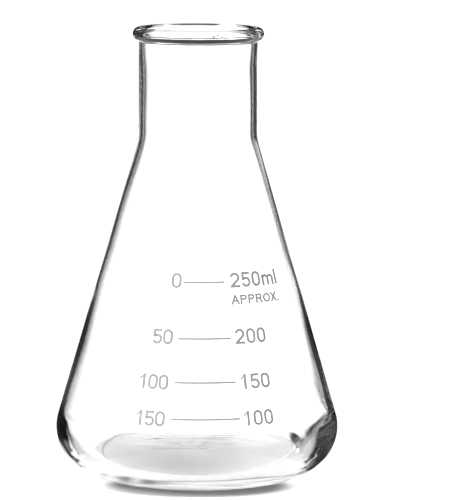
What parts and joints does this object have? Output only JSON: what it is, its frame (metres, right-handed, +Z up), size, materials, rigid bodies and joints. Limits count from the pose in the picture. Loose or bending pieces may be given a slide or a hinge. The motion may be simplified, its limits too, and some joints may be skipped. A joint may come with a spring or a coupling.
{
  "type": "erlenmeyer flask",
  "caption": "Conical laboratory flask with a flat base, a rounded heel, a short cylindrical neck and a beaded rim, and a double volume scale in fired enamel on its front.",
  "frame": {"origin": "on the flask's axis, in the plane that its base stands on", "axes": "+Z up along the axis of symmetry, towards the mouth; -Y towards the side with the scale; +X to the right of someone who reads the scale"},
  "size_m": [0.0874, 0.0874, 0.138],
  "materials": {
    "glass": "clear colourless borosilicate glass, fire-polished",
    "enamel": "thin fired enamel print, satin"
  },
  "bodies": {
    "root": {"flask_body": "glass", "line_250": "enamel", "line_200": "enamel", "line_150": "enamel", "line_100": "enamel", "numeral_250ml": "enamel", "numeral_200": "enamel", "numeral_150": "enamel", "numeral_100": "enamel", "left_numeral_0": "enamel", "left_numeral_50": "enamel", "left_numeral_100": "enamel", "left_numeral_150": "enamel", "approx_mark": "enamel"}
  },
  "joints": []
}
